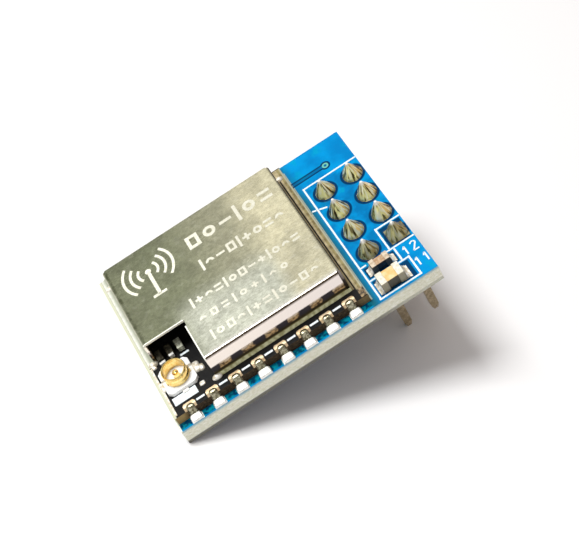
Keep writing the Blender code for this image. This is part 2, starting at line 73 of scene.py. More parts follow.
def board_middle(name):
    """Middle of a CAD node in the board's plan."""
    low, high = board_box(name)
    return round((low[0] + high[0]) / 2, 2), round((low[1] + high[1]) / 2, 2)


# Main lines of the boards, the shield and what is soldered to them.
CARRIER_X, CARRIER_Y = board_box("carrier_board")[1][:2]
module_low, module_high = board_box("module_board")
MODULE_LEFT = module_low[0]
MODULE_RIGHT, MODULE_Y, MODULE_TOP = module_high
can_low, can_high = board_box("shield_can")
CAN_LEFT = can_low[0]
CAN_RIGHT, CAN_Y, CAN_TOP = can_high
CAN_BEND = 0.25
NOTCH_X = -6.9
NOTCH_Y = -2.3
SOCKET_X, SOCKET_Y = board_middle("socket_housing")
JOINT_X = [board_middle(f"castellation_solder_near_{i}")[0] for i in range(1, 9)]
JOINT_PITCH = round(JOINT_X[1] - JOINT_X[0], 2)
BLOCK_SHIFT = 22.73
PINS = [board_middle(f"header_pin_{i}") for i in range(1, 9)]
PIN_X = [x for x, y in PINS[:2]]
PIN_Y = [y for x, y in PINS[::2]]
PIN_PITCH = round(PIN_X[1] - PIN_X[0], 2)
SQUARE_PIN = 8
TRACK_Y = 6.24
VIA_X, VIA_Y = 8.96, 6.22

# Heights of thin films over the face that they lie on.
LAND, LAND_TOP, RING_TOP = 0.002, 0.014, 0.03
LOW, FILM = 0.001, 0.02
DECK, DECK_FILM = MODULE_TOP + LOW, MODULE_TOP + FILM


# Meshes


class Mesh:
    """Vertices and faces of one piece, gathered from several closed shapes."""

    def __init__(self):
        self.verts = []
        self.faces = []

    def add(self, verts, faces):
        first = len(self.verts)
        self.verts += [tuple(v) for v in verts]
        self.faces += [[first + i for i in face] for face in faces]
        return self

    def loft(self, loops):
        """Closed loops of equal length, joined in order and capped at both ends."""
        n = len(loops[0])
        verts = [p for loop in loops for p in loop]
        faces = [list(range(n))[::-1], [(len(loops) - 1) * n + i for i in range(n)]]
        for k in range(len(loops) - 1):
            a, b = k * n, (k + 1) * n
            for i in range(n):
                j = (i + 1) % n
                faces.append([a + i, a + j, b + j, b + i])
        return self.add(verts, faces)

    def prism(self, outline, low, high):
        return self.loft([[(x, y, z) for x, y in outline] for z in (low, high)])

    def box(self, x0, y0, x1, y1, low, high):
        y0, y1 = sorted((y0, y1))
        return self.prism([(x0, y0), (x1, y0), (x1, y1), (x0, y1)], low, high)

    def bar(self, a, b, width, low, high):
        """A straight line from a to b with square ends."""
        run = (Vector(b) - Vector(a)).normalized() * width / 2
        side = Vector((-run.y, run.x))
        ends = (Vector(a) - side, Vector(b) - side, Vector(b) + side, Vector(a) + side)
        return self.prism([tuple(p) for p in ends], low, high)

    def band(self, x, y, inner, outer, start, end, low, high, steps=24):
        """Part of a flat ring, from one angle to another in degrees."""
        turns = [math.radians(start + (end - start) * i / steps) for i in range(steps + 1)]
        rim = [(x + outer * math.cos(t), y + outer * math.sin(t)) for t in turns]
        hole = [(x + inner * math.cos(t), y + inner * math.sin(t)) for t in turns]
        loops = []
        for (ox, oy), (ix, iy) in zip(rim, hole):
            loops.append([(ix, iy, low), (ox, oy, low), (ox, oy, high), (ix, iy, high)])
        return self.loft(loops)

    def disc(self, x, y, radius, low, high, steps=32):
        turns = [2 * math.pi * i / steps for i in range(steps)]
        rim = [(x + radius * math.cos(t), y + radius * math.sin(t)) for t in turns]
        return self.prism(rim, low, high)


def soften(data, crease):
    """Shades a mesh smooth below the given crease angle in degrees."""
    data.shade_smooth()
    data.set_sharp_from_angle(angle=math.radians(crease))


def build(name, mesh, finish, stands_for=(), smooth=None):
    """One object from a Mesh, riding on the board, smooth below the given crease angle."""
    data = bpy.data.meshes.new(name)
    data.from_pydata([BOARD @ Vector(v) for v in mesh.verts], [], mesh.faces)
    shape = bmesh.new()
    shape.from_mesh(data)
    bmesh.ops.recalc_face_normals(shape, faces=shape.faces)
    shape.to_mesh(data)
    shape.free()
    piece = bpy.data.objects.new(name, data)
    bpy.context.scene.collection.objects.link(piece)
    if smooth:
        soften(data, smooth)
    data.materials.append(finish)
    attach(piece, "root")
    if stands_for:
        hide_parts(*stands_for)
    return piece


def wear(names, finish, smooth=35):
    """Gives CAD nodes their finish."""
    for name in names:
        data = nodes[name].data
        data.materials.clear()
        data.materials.append(finish)
        if smooth:
            soften(data, smooth)


# Finishes


class Nodes:
    """Short ways to add nodes to a tree; a value may be a number, a colour or another node's output."""

    def __init__(self, tree):
        self.tree = tree

    def node(self, kind, **settings):
        made = self.tree.nodes.new(kind)
        for key, value in settings.items():
            setattr(made, key, value)
        return made

    def link(self, source, target):
        self.tree.links.new(source, target)

    def put(self, value, target):
        if isinstance(value, bpy.types.NodeSocket):
            self.link(value, target)
        elif isinstance(value, (tuple, list)) and len(value) == 3 and len(target.default_value) == 4:
            target.default_value = (*value, 1)
        else:
            target.default_value = value

    def math(self, operation, *values):
        made = self.node("ShaderNodeMath", operation=operation)
        for i, value in enumerate(values):
            self.put(value, made.inputs[i])
        return made.outputs[0]

    def times(self, *values):
        return self.math("MULTIPLY", *values)

    def plus(self, *values):
        return self.math("ADD", *values)

    def less(self, *values):
        return self.math("SUBTRACT", *values)

    def most(self, *values):
        return self.math("MAXIMUM", *values)

    def vector(self, *values):
        made = self.node("ShaderNodeCombineXYZ")
        for value, target in zip(values, made.inputs):
            self.put(value, target)
        return made.outputs[0]

    def ramp(self, value, low, high, start=0.0, end=1.0):
        """From start to end, smoothly, while value goes from low to high."""
        made = self.node("ShaderNodeMapRange", interpolation_type="SMOOTHSTEP")
        for i, entry in enumerate((value, low, high, start, end)):
            self.put(entry, made.inputs[i])
        return made.outputs[0]

    def blend(self, share, first, second):
        made = self.node("ShaderNodeMix", data_type="RGBA")
        for name, value in (("Factor_Float", share), ("A_Color", first), ("B_Color", second)):
            self.put(value, next(s for s in made.inputs if s.identifier == name))
        return next(s for s in made.outputs if s.identifier == "Result_Color")


class Finish(Nodes):
    """A node material whose pattern lies in the board frame, in millimetres."""

    def __init__(self, name, colour, rough, metal=0.0, level=0.5):
        self.material = bpy.data.materials.new(name)
        self.material.use_nodes = True
        super().__init__(self.material.node_tree)
        self.shader = self.tree.nodes["Principled BSDF"]
        self.set("Base Color", colour)
        self.set("Roughness", rough)
        self.set("Metallic", metal)
        self.set("Specular IOR Level", level)
        place = self.node("ShaderNodeTexCoord").outputs["Object"]
        moved = self.node("ShaderNodeMapping")
        moved.inputs["Location"].default_value = BACK.translation
        moved.inputs["Rotation"].default_value = BACK.to_euler()
        moved.inputs["Scale"].default_value = BACK.to_scale()
        self.link(place, moved.inputs["Vector"])
        self.place = moved.outputs[0]
        split = self.node("ShaderNodeSeparateXYZ")
        self.link(self.place, split.inputs[0])
        self.x, self.y, self.z = split.outputs

    def set(self, name, value):
        self.put(value, self.shader.inputs[name])

    def reach(self, a, b):
        """Length of the long side over these two short ones."""
        squares = [self.math("POWER", side, 2.0) for side in (a, b)]
        return self.math("POWER", self.plus(*squares), 0.5)

    def around(self, x, y):
        """Distance from the upright axis at x, y."""
        return self.reach(self.less(self.x, x), self.less(self.y, y))

    def between(self, value, low, high, soft=0.02):
        """1 where value lies between low and high."""
        rise = self.ramp(value, low - soft, low + soft)
        fall = self.ramp(value, high - soft, high + soft, 1.0, 0.0)
        return self.times(rise, fall)

    def inside(self, x0, y0, x1, y1, soft=0.02):
        """1 over a rectangle of the board's plan."""
        return self.times(self.between(self.x, x0, x1, soft), self.between(self.y, y0, y1, soft))

    def noise(self, scale, detail=2.0, stretch=(1, 1, 1), rough=0.5, at=None):
        at = at or self.place
        if stretch != (1, 1, 1):
            drawn = self.node("ShaderNodeMapping")
            drawn.inputs["Scale"].default_value = stretch
            self.link(at, drawn.inputs["Vector"])
            at = drawn.outputs[0]
        made = self.node("ShaderNodeTexNoise")
        self.link(at, made.inputs["Vector"])
        made.inputs["Scale"].default_value = scale
        made.inputs["Detail"].default_value = detail
        made.inputs["Roughness"].default_value = rough
        return made.outputs[0]

    def facing(self):
        """How far the surface faces up from the board: 1 on top, 0 on an edge, -1 underneath."""
        dot = self.node("ShaderNodeVectorMath", operation="DOT_PRODUCT")
        self.link(self.node("ShaderNodeNewGeometry").outputs["True Normal"], dot.inputs[0])
        dot.inputs[1].default_value = BOARD_Z
        return dot.outputs["Value"]

    def bump(self, height, depth, normal=None):
        """Relief from a 0 to 1 pattern; depth is in millimetres."""
        made = self.node("ShaderNodeBump")
        made.inputs["Strength"].default_value = 1.0
        made.inputs["Distance"].default_value = depth / 1000
        self.link(height, made.inputs["Height"])
        if normal:
            self.link(normal, made.inputs["Normal"])
        self.set("Normal", made.outputs[0])

    def rounded(self, radius):
        """Edges that catch light as if rounded by this radius in millimetres."""
        made = self.node("ShaderNodeBevel", samples=4)
        made.inputs["Radius"].default_value = radius / 1000
        return made.outputs[0]


def blue_board():
    """Blue solder mask over copper on both faces, and a pale glass fibre edge."""
    look = Finish("blue_mask", (0, 0.28, 0.7), 0.34, level=0.05)
    outward = look.math("ABSOLUTE", look.y)

    # The mask is dark round the pins and along the track and its via; the dark patches under the near parts
    # are painted shade.
    across = look.math("PINGPONG", look.less(look.x, PIN_X[0]), PIN_PITCH / 2)
    along = look.math("PINGPONG", look.less(look.y, PIN_Y[3]), PIN_PITCH / 2)
    header = look.inside(PIN_X[0] - 1.2, PIN_Y[3] - 1.2, PIN_X[1] + 0.97, PIN_Y[0] + 1.2)
    ring = look.times(look.ramp(look.reach(across, along), 1.0, 1.1, 1.0, 0.0), header)
    track = look.between(look.y, TRACK_Y - 0.26, TRACK_Y + 0.26, 0.04)
    track = look.times(track, look.between(look.x, 4.0, VIA_X + 0.04, 0.03))
    core = look.between(look.y, TRACK_Y - 0.12, TRACK_Y + 0.12, 0.03)
    core = look.times(core, look.between(look.x, 4.0, VIA_X + 0.14, 0.03))
    via = look.around(VIA_X, VIA_Y)
    gap_and_shade = look.most(ring, look.most(track, look.ramp(via, 0.4, 0.46, 1.0, 0.0)))
    gap_and_shade = look.times(gap_and_shade, look.less(1.0, look.times(core, 0.45)))
    # Painted shade: dark patches under the near parts.
    patches = ((6.6, -8.3, 9.75, -6.55), (6.6, -6.25, 9.28, -5.05), (9.28, -4.72, 11.15, -2.55))
    for patch in patches:
        gap_and_shade = look.most(gap_and_shade, look.times(look.inside(*patch, 0.05), 0.95))

    # The mask's blue wanders and is greener in places. Along the module's long edges it is dark with teal
    # lumps, less so at the carrier's edge, and it is darker past the module's right end: painted shade. A
    # pale line at the module's right end is a painted highlight.
    mask = look.blend(look.ramp(look.noise(0.5, 3), 0.35, 0.65), (0.0, 0.2, 0.5), (0.0, 0.285, 0.64))
    teal = look.ramp(look.noise(0.8, 3), 0.56, 0.7, 0.0, 0.5)
    mask = look.blend(teal, mask, (0.0, 0.36, 0.52))
    bare = look.times(look.ramp(look.noise(0.9, 3), 0.42, 0.6), look.times(header, 0.6))
    mask = look.blend(bare, mask, (0.0, 0.13, 0.34))
    # Painted shade along the module's long edges, weaker at the carrier's edge.
    shore = look.ramp(outward, MODULE_Y - 0.1, MODULE_Y + 0.1)
    shore = look.times(shore, look.ramp(look.x, MODULE_RIGHT - 0.2, MODULE_RIGHT + 0.4, 1.0, 0.0))
    shore = look.times(shore, look.ramp(outward, CARRIER_Y - 0.2, CARRIER_Y - 0.1, 1.0, 0.25))
    painted_shore_shade = look.blend(look.ramp(look.noise(2.6, 3), 0.4, 0.6), (0.0, 0.035, 0.09), (0.0, 0.2, 0.27))
    mask = look.blend(shore, mask, painted_shore_shade)
    # Painted shade: darker teal just past the module's right end, fading toward the far side.
    painted_end_shade = look.ramp(look.x, MODULE_RIGHT - 0.2, MODULE_RIGHT - 0.05)
    painted_end_shade = look.times(painted_end_shade, look.ramp(look.x, MODULE_RIGHT + 0.1, MODULE_RIGHT + 0.9, 1.0, 0.0))
    painted_end_shade = look.times(painted_end_shade, look.ramp(look.y, 4.0, 6.0, 0.85, 0.3))
    mask = look.blend(painted_end_shade, mask, (0.01, 0.12, 0.17))
    # A painted highlight: a pale line along the module's right end.
    painted_end_highlight = look.between(look.x, MODULE_RIGHT - 0.1, MODULE_RIGHT + 0.13, 0.03)
    painted_end_highlight = look.times(painted_end_highlight, look.ramp(outward, MODULE_Y - 0.1, MODULE_Y, 0.95, 0.0))
    mask = look.blend(painted_end_highlight, mask, (0.5, 0.6, 0.52))
    mask = look.blend(gap_and_shade, mask, (0.0, 0.034, 0.105))
    mask = look.blend(look.between(via, 0.13, 0.27), mask, (0.16, 0.5, 0.4))
    # Painted shade: underneath, the mask is a darker, greyer blue than on top, which keeps blue light out
    # of the floor's shadow.
    underside_shade = look.ramp(look.facing(), -0.6, -0.4, 1.0, 0.0)
    mask = look.blend(underside_shade, mask, (0.02, 0.07, 0.13))

    # The edge: fibres and specks, bluish under the mask, and darker low down: a painted shade, lighter
    # toward the right.
    fibre = look.ramp(look.noise(3.2, 4, (1, 1, 4), 0.7), 0.42, 0.62)
    edge = look.blend(fibre, (0.76, 0.77, 0.6), (0.97, 0.98, 0.89))
    drift = look.ramp(look.noise(0.9, 3, (1, 1, 2.5)), 0.4, 0.62, 0.0, 0.2)
    edge = look.blend(drift, edge, (0.82, 0.76, 0.62))
    specks = look.ramp(look.noise(9, 3, (1, 1, 2)), 0.58, 0.68, 0.0, 0.5)
    edge = look.blend(specks, edge, (0.45, 0.40, 0.2))
    low_edge_shade = look.times(look.ramp(look.z, -1.34, -1.2, 1.0, 0.0), look.ramp(look.x, 4.0, 9.5, 0.9, 0.35))
    edge = look.blend(low_edge_shade, edge, (0.13, 0.125, 0.11))
    right_of_end = look.ramp(look.x, -CARRIER_X + 0.1, -CARRIER_X + 0.14)
    edge = look.blend(look.times(look.ramp(look.z, -0.35, 0.0), right_of_end), edge, (0.28, 0.5, 0.62))

    flat = look.times(look.ramp(look.math("ABSOLUTE", look.facing()), 0.4, 0.6), right_of_end)
    look.set("Base Color", look.blend(flat, edge, mask))
    look.set("Roughness", look.ramp(flat, 0, 1, 0.75, 0.3))
    look.bump(look.plus(look.noise(2.5, 3), look.times(gap_and_shade, -0.6)), 0.012, look.rounded(0.03))
    return look.material


def black_board():
    """Black solder mask, and a dark brown edge."""
    look = Finish("black_mask", (0.01, 0.01, 0.01), 0.3, level=0.15)
    grain = look.ramp(look.noise(3.5, 4, (1, 1, 5), 0.7), 0.4, 0.62)
    edge = look.blend(grain, (0.014, 0.009, 0.004), (0.09, 0.058, 0.03))
    edge = look.blend(look.ramp(look.x, -10.6, -9.9, 0.8, 0.0), edge, (0.42, 0.3, 0.12))
    edge = look.blend(look.ramp(look.x, 4.6, 5.4, 0.0, 0.6), edge, (0.3, 0.22, 0.1))
    pale = look.ramp(look.x, MODULE_LEFT + 0.04, MODULE_LEFT + 0.1, 1.0, 0.0)
    edge = look.blend(pale, edge, (0.62, 0.63, 0.47))
    flat = look.ramp(look.math("ABSOLUTE", look.facing()), 0.4, 0.6)
    top = look.blend(look.noise(1.2, 3), (0.006, 0.006, 0.007), (0.018, 0.017, 0.016))
    rim = look.ramp(look.x, MODULE_LEFT + 0.18, MODULE_LEFT + 0.24, 1.0, 0.0)
    top = look.blend(rim, top, (0.62, 0.63, 0.47))
    look.set("Base Color", look.blend(flat, edge, top))
    look.set("Roughness", look.ramp(flat, 0, 1, 0.7, 0.28))
    look.bump(look.noise(3, 3), 0.01, look.rounded(0.03))
    return look.material


def shield_metal():
    """Nickel silver sheet: fine rolled grain, small specks and duller patches, with painted reflections and
    painted shade.
    """
    look = Finish("nickel_silver", (0.7, 0.67, 0.58), 0.3, 1.0)
    slant = look.facing()
    up = look.ramp(slant, 0.5, 0.8)
    ragged = look.times(look.less(look.noise(3.2, 3), 0.5), 0.5)

    # Painted reflection: the top goes from olive at the left to cream at the right, and is brighter toward
    # the near side.
    warm = look.blend(look.ramp(look.x, -6.5, 0.5), (0.31, 0.33, 0.22), (0.56, 0.545, 0.4))
    warm = look.blend(look.ramp(look.x, -0.4, 2.4), warm, (0.95, 0.89, 0.65))
    shine = look.blend(look.ramp(look.x, 0.4, 2.2), (0.81, 0.83, 0.72), (0.79, 0.745, 0.555))
    near = look.times(look.ramp(look.y, -2.9, 0.2, 1.0, 0.0), look.ramp(look.x, -8.0, -5.6))
    warm = look.blend(near, warm, shine)
    for pattern, low, high, share in (
        (look.noise(0.55, 5, (1, 1, 1), 0.65), 0.38, 0.64, 0.24),
        (look.noise(3.0, 3, (0.7, 1, 1), 0.6), 0.36, 0.64, 0.16),
    ):
        warm = look.blend(look.ramp(pattern, low, high, 0.0, share), warm, (0.07, 0.07, 0.05))
    light = look.ramp(look.noise(1.6, 3, (1, 1, 1), 0.6), 0.52, 0.7)
    warm = look.blend(look.times(light, look.ramp(near, 0.0, 1.0, 0.09, 0.2)), warm, (0.95, 0.95, 0.85))
    # A painted highlight: a pale band just inside the top's near bend, right of the notch.
    painted_glow = look.ramp(look.y, -CAN_Y + 0.25, -CAN_Y + 0.65, 0.6, 0.0)
    painted_glow = look.times(painted_glow, look.ramp(look.x, NOTCH_X + 0.1, NOTCH_X + 0.9))
    warm = look.blend(painted_glow, warm, (0.97, 0.94, 0.88))

    # Painted reflection on the walls: a pale band over a row of dark and brown blocks, one block to each
    # joint.
    band = look.blend(look.ramp(look.x, -5.0, 4.5), (0.85, 0.77, 0.7), (0.78, 0.71, 0.67))
    beat = look.math("PINGPONG", look.plus(look.x, BLOCK_SHIFT), JOINT_PITCH / 2)
    beat = look.plus(beat, ragged)
    mottle = look.ramp(look.noise(3.6, 3, (1, 1, 2)), 0.36, 0.62)
    lump = look.blend(mottle, (0.1, 0.055, 0.02), (0.66, 0.44, 0.2))
    pale = look.ramp(look.plus(look.z, ragged), 1.62, 1.95, 0.0, 0.8)
    lump = look.blend(pale, lump, (0.9, 0.78, 0.62))
    blocks = look.blend(look.ramp(beat, 0.42, 0.6), (0.02, 0.013, 0.02), lump)
    blocks = look.blend(look.ramp(look.z, 1.34, 1.4), (0.028, 0.018, 0.001), blocks)
    blocks = look.blend(look.ramp(look.z, 1.11, 1.15), (0.2, 0.16, 0.05), blocks)
    foot = look.ramp(look.z, MODULE_TOP + 1.06, MODULE_TOP + 1.18)
    wall = look.blend(foot, blocks, band)
    tint = look.blend(up, wall, warm)

    # Painted shade: dark lines in the near and right bends. Along the top's near edge, where the metal
    # reflects a bright line, a darker painted tint tones it down.
    bend = CAN_BEND + 0.02
    near_side = look.ramp(look.y, -CAN_Y + bend - 0.03, -CAN_Y + bend, 1.0, 0.0)
    right_side = look.ramp(look.x, CAN_RIGHT - bend, CAN_RIGHT - bend + 0.03)
    fold_shade = look.times(near_side, look.between(slant, 0.383, 0.92))
    fold_shade = look.most(fold_shade, look.times(right_side, look.between(slant, 0.05, 0.72, 0.01)))
    lip = look.ramp(look.y, -CAN_Y + 0.28, -CAN_Y + 0.33, 1.0, 0.0)
    lip = look.times(lip, look.ramp(slant, 0.83, 0.88))
    lip = look.times(lip, look.ramp(look.x, CAN_RIGHT - 0.35, CAN_RIGHT - 0.25, 0.8, 0.0))
    tint = look.blend(lip, tint, (0.46, 0.43, 0.4))
    tint = look.blend(fold_shade, tint, (0.08, 0.052, 0.034))

    # A green tone at the left bend, and a ragged darker line inside it.
    left_bend = look.ramp(look.x, CAN_LEFT + bend - 0.03, CAN_LEFT + bend, 1.0, 0.0)
    left_bend = look.times(left_bend, look.between(slant, 0.05, 0.9))
    left_bend = look.times(left_bend, look.ramp(look.noise(2.5, 3), 0.3, 0.6, 0.4, 0.9))
    tint = look.blend(left_bend, tint, (0.32, 0.34, 0.22))
    inner = look.ramp(look.plus(look.x, look.times(ragged, 0.5)), CAN_LEFT + 0.3, CAN_LEFT + 0.42, 1.0, 0.0)
    inner = look.times(look.times(inner, up), look.ramp(look.noise(1.3, 3), 0.4, 0.6, 0.15, 0.6))
    tint = look.blend(inner, tint, (0.055, 0.06, 0.022))

    # Painted shade at the near right corner, the painted reflection's pale band on the near wall's upper
    # edge, and the notch's pale cut edges.
    corner = look.times(right_side, look.times(near_side, look.ramp(slant, 0.9, 0.97, 1.0, 0.0)))
    tint = look.blend(corner, tint, (0.06, 0.045, 0.03))
    soft = look.times(near_side, look.between(slant, 0.12, 0.3))
    tint = look.blend(soft, tint, band)
    cut_far = look.between(look.y, NOTCH_Y - 0.02, NOTCH_Y + 0.1, 0.01)
    cut_far = look.times(cut_far, look.ramp(look.x, NOTCH_X + 0.1, NOTCH_X + 0.12, 1.0, 0.0))
    cut_right = look.between(look.x, NOTCH_X - 0.02, NOTCH_X + 0.1, 0.01)
    cut_right = look.times(cut_right, look.ramp(look.y, NOTCH_Y + 0.1, NOTCH_Y + 0.12, 1.0, 0.0))
    above = look.ramp(look.x, CAN_LEFT - 0.1, CAN_LEFT)
    above = look.times(above, look.ramp(look.z, CAN_TOP - 0.3, CAN_TOP - 0.2))
    cut = look.times(look.most(cut_far, cut_right), above)
    tint = look.blend(cut, tint, (0.95, 0.94, 0.84))
    look.set("Base Color", tint)

    # The walls' painted reflection, the cut edges and the soft edge are less like metal than the rest.
    low = look.times(look.less(1.0, foot), look.less(1.0, up))
    paint = look.most(look.times(low, 0.85), look.times(cut, 0.75))
    look.set("Metallic", look.less(1.0, look.most(paint, look.times(soft, 0.7))))
    grain = look.noise(5, 4, (0.6, 1, 1), 0.7)
    rough = look.times(look.ramp(grain, 0.3, 0.7, 0.22, 0.32), look.ramp(up, 0, 1, 0.35, 1.0))
    rough = look.most(rough, look.times(look.most(look.most(fold_shade, corner), low), 0.5))
    look.set("Roughness", look.most(rough, look.times(cut, 0.6)))

    # The walls lean a little outward for the light, and only the top shows its grain.
    lean = look.node("ShaderNodeVectorMath", operation="MULTIPLY_ADD")
    share = look.times(look.less(1.0, up), 0.085)
    for value, target in zip((BOARD_Z, look.vector(share, share, share), look.rounded(0.05)), lean.inputs):
        look.put(value, target)
    relief = look.plus(look.times(grain, 0.6), look.times(look.noise(11, 2), 0.7))
    look.bump(look.times(relief, look.ramp(up, 0, 1, 0.2, 1.0)), 0.0025, lean.outputs[0])
    return look.material


def plain_metal(name, colour, shade, rough, spread=0.08, scale=3.0, metal=1.0):
    """Metal whose tint and gloss wander between two values."""
    look = Finish(name, colour, rough, metal)
    share = look.ramp(look.noise(scale, 3), 0.35, 0.65)
    look.set("Base Color", look.blend(share, colour, shade))
    look.set("Roughness", look.ramp(look.noise(scale * 2, 2), 0.35, 0.65, rough - spread, rough + spread))
    look.bump(look.noise(scale * 2.5, 2), 0.01)
    return look.material


def pad_gold():
    """Gilded pads, darker toward the board's edge and a little darker at their inner ends."""
    look = Finish("pad_gold", (1.0, 0.82, 0.58), 0.42, 1.0)
    tint = look.blend(look.ramp(look.noise(3, 3), 0.35, 0.65), (1.0, 0.82, 0.58), (0.88, 0.66, 0.4))
    outer = look.ramp(look.math("ABSOLUTE", look.y), 7.58, 7.72, 0.0, 0.75)
    inner = look.ramp(look.math("ABSOLUTE", look.y), 7.36, 7.46, 0.4, 0.0)
    look.set("Base Color", look.blend(look.most(inner, outer), tint, (0.16, 0.11, 0.06)))
    look.bump(look.noise(7.5, 2), 0.01)
    return look.material


def ground_strip():
    """Tinned copper round the shield, khaki, with a painted shade line next to the shield's right wall, a
    browner band and a pale rim along the right end.
    """
    look = Finish("tinned_strip", (0.6, 0.6, 0.32), 0.42, 0.25)
    share = look.ramp(look.noise(2.2, 3), 0.36, 0.64)
    tint = look.blend(share, (0.74, 0.74, 0.46), (0.4, 0.38, 0.18))
    # The first band, next to the shield's right wall, is painted shade.
    bands = (
        (0.0, 0.04, (0.27, 0.2, 0.1), (0.14, 0.1, 0.045)),
        (0.05, 0.12, (0.5, 0.42, 0.24), (0.33, 0.27, 0.14)),
        (0.42, 0.5, (0.3, 0.25, 0.1), (0.15, 0.11, 0.035)),
    )
    for low, high, light, dark in bands:
        past = look.ramp(look.x, CAN_RIGHT + low, CAN_RIGHT + high)
        tint = look.blend(past, tint, look.blend(share, light, dark))
    tint = look.blend(look.ramp(look.x, MODULE_RIGHT - 0.17, MODULE_RIGHT - 0.11), tint, (0.38, 0.37, 0.26))
    # Dark and brown mottling on the strip's near end.
    corner_mottle = look.blend(look.ramp(look.noise(3.5, 3), 0.4, 0.6), (0.03, 0.02, 0.012), (0.34, 0.24, 0.12))
    tint = look.blend(look.ramp(look.y, -7.1, -6.98, 1.0, 0.0), tint, corner_mottle)
    look.set("Base Color", tint)
    look.bump(look.noise(5, 2), 0.01)
    return look.material


def left_solder():
    """Solder along the shield's left side: pale at the board's edge, darker and greener toward the shield,
    where the darkening is painted shade.
    """
    look = Finish("left_solder", (0.96, 0.96, 0.88), 0.42, 0.6)
    tint = look.blend(look.ramp(look.noise(3.2, 3), 0.35, 0.65), (0.98, 0.98, 0.9), (0.84, 0.85, 0.74))
    look.set("Base Color", look.blend(look.ramp(look.x, -10.95, -10.6), tint, (0.42, 0.44, 0.33)))
    look.bump(look.noise(8, 2), 0.01)
    return look.material


def etched_marks():
    """Frosted marks, fainter toward the shield's right side."""
    look = Finish("etched_mark", (0.9, 0.89, 0.76), 0.55)
    tint = look.blend(look.ramp(look.noise(5, 3), 0.35, 0.65), (0.9, 0.89, 0.76), (0.74, 0.73, 0.58))
    faint = look.ramp(look.x, -5.5, 1.0, 0.0, 0.5)
    look.set("Base Color", look.blend(faint, tint, (0.52, 0.49, 0.38)))
    look.bump(look.noise(15, 2), 0.01, look.rounded(0.04))
    return look.material


def socket_gold(reach):
    """Gilded contact whose tabs, past this distance from its axis in millimetres, are under pale solder."""
    look = Finish(f"contact_gold_{reach}", (1.0, 0.8, 0.36), 0.28, 1.0)
    share = look.ramp(look.noise(3, 3), 0.35, 0.65)
    tint = look.blend(share, (1.0, 0.8, 0.34), (0.88, 0.58, 0.17))
    tab = look.ramp(look.around(SOCKET_X, SOCKET_Y), reach, reach + 0.03)
    look.set("Base Color", look.blend(tab, tint, (0.96, 0.94, 0.88)))
    look.set("Metallic", look.less(1.0, look.times(tab, 0.9)))
    look.set("Roughness", look.ramp(look.noise(6, 2), 0.35, 0.65, 0.16, 0.28))
    look.bump(look.noise(7.5, 2), 0.01)
    return look.material


def drawn_solder():
    """Solder drawn up the pins, with its light painted on: painted reflections in streaks from tip to foot,
    darker to the left and browner to the right as painted light by side, a painted highlight at the tip and
    painted shade at the foot.
    """
    look = Finish("wetted_solder", (1.0, 0.95, 0.6), 0.26, 0.36, 0.15)
    half = PIN_PITCH / 2
    dx = look.math("WRAP", look.less(look.x, PIN_X[0]), half, -half)
    dy = look.math("WRAP", look.less(look.y, PIN_Y[3]), half, -half)
    front = look.less(look.times(dx, -0.44), look.times(dy, 0.9))
    aside = look.less(look.times(dx, 0.9), look.times(dy, 0.44))
    turn = look.math("ARCTAN2", aside, front)
    cell = look.plus(look.times(look.less(look.x, dx), 3.1), look.times(look.less(look.y, dy), 1.7))
    spot = look.vector(turn, look.times(look.z, 0.35), cell)
    broad = look.noise(1.5, 1.5, at=spot)
    fine = look.noise(3.0, 2.0, at=spot)
    # Painted light by side, painted reflection streaks, a painted highlight at the tip and painted shade at
    # the foot.
    left = look.ramp(turn, -1.3, -0.3, 1.0, 0.0)
    right = look.ramp(turn, 0.4, 1.0)
    tint = look.blend(look.times(left, 0.9), (1.0, 0.96, 0.44), (0.14, 0.16, 0.04))
    tint = look.blend(look.times(right, 0.8), tint, (0.92, 0.6, 0.2))
    tint = look.blend(look.ramp(broad, 0.55, 0.64, 0.0, 0.85), tint, (0.13, 0.085, 0.025))
    tint = look.blend(look.ramp(fine, 0.56, 0.62, 0.0, 0.92), tint, (0.03, 0.022, 0.008))
    tint = look.blend(look.ramp(fine, 0.48, 0.42, 0.0, 0.95), tint, (1.0, 1.0, 0.74))
    # The near row of cones is darker, more so on the right.
    near_row_dark = look.times(look.ramp(look.y, -2.9, -2.0, 1.0, 0.0), look.ramp(look.x, 8.5, 9.5, 0.45, 0.6))
    tint = look.blend(near_row_dark, tint, (0.12, 0.11, 0.05))
    tint = look.blend(look.ramp(look.z, 1.15, 1.4), tint, (1.0, 0.98, 0.92))
    tint = look.blend(look.ramp(look.z, 0.05, 0.3, 0.55, 0.0), tint, (0.2, 0.17, 0.07))
    look.set("Base Color", tint)
    return look.material


def plain_solid(name, colour, shade, rough, scale=3.0, relief=0.01, level=0.5, side=None):
    """Plastic, ceramic or print whose tint wanders a little; its sides may be given a darker tint, as
    painted shade.
    """
    look = Finish(name, colour, rough, 0.0, level)
    share = look.ramp(look.noise(scale, 3), 0.35, 0.65)
    tint = look.blend(share, colour, shade)
    if side:
        tint = look.blend(look.ramp(look.facing(), 0.3, 0.7), side, tint)
    look.set("Base Color", tint)
    look.set("Roughness", look.ramp(look.noise(scale * 2, 2), 0.3, 0.7, rough - 0.06, rough + 0.06))
    look.bump(look.noise(scale * 3, 2), relief, look.rounded(0.04))
    return look.material


BLUE = blue_board()
BLACK = black_board()
SHIELD = shield_metal()
SOLDER = plain_metal("solder", (0.92, 0.91, 0.88), (0.8, 0.79, 0.74), 0.34, 0.1, 2.5)
CONE = drawn_solder()
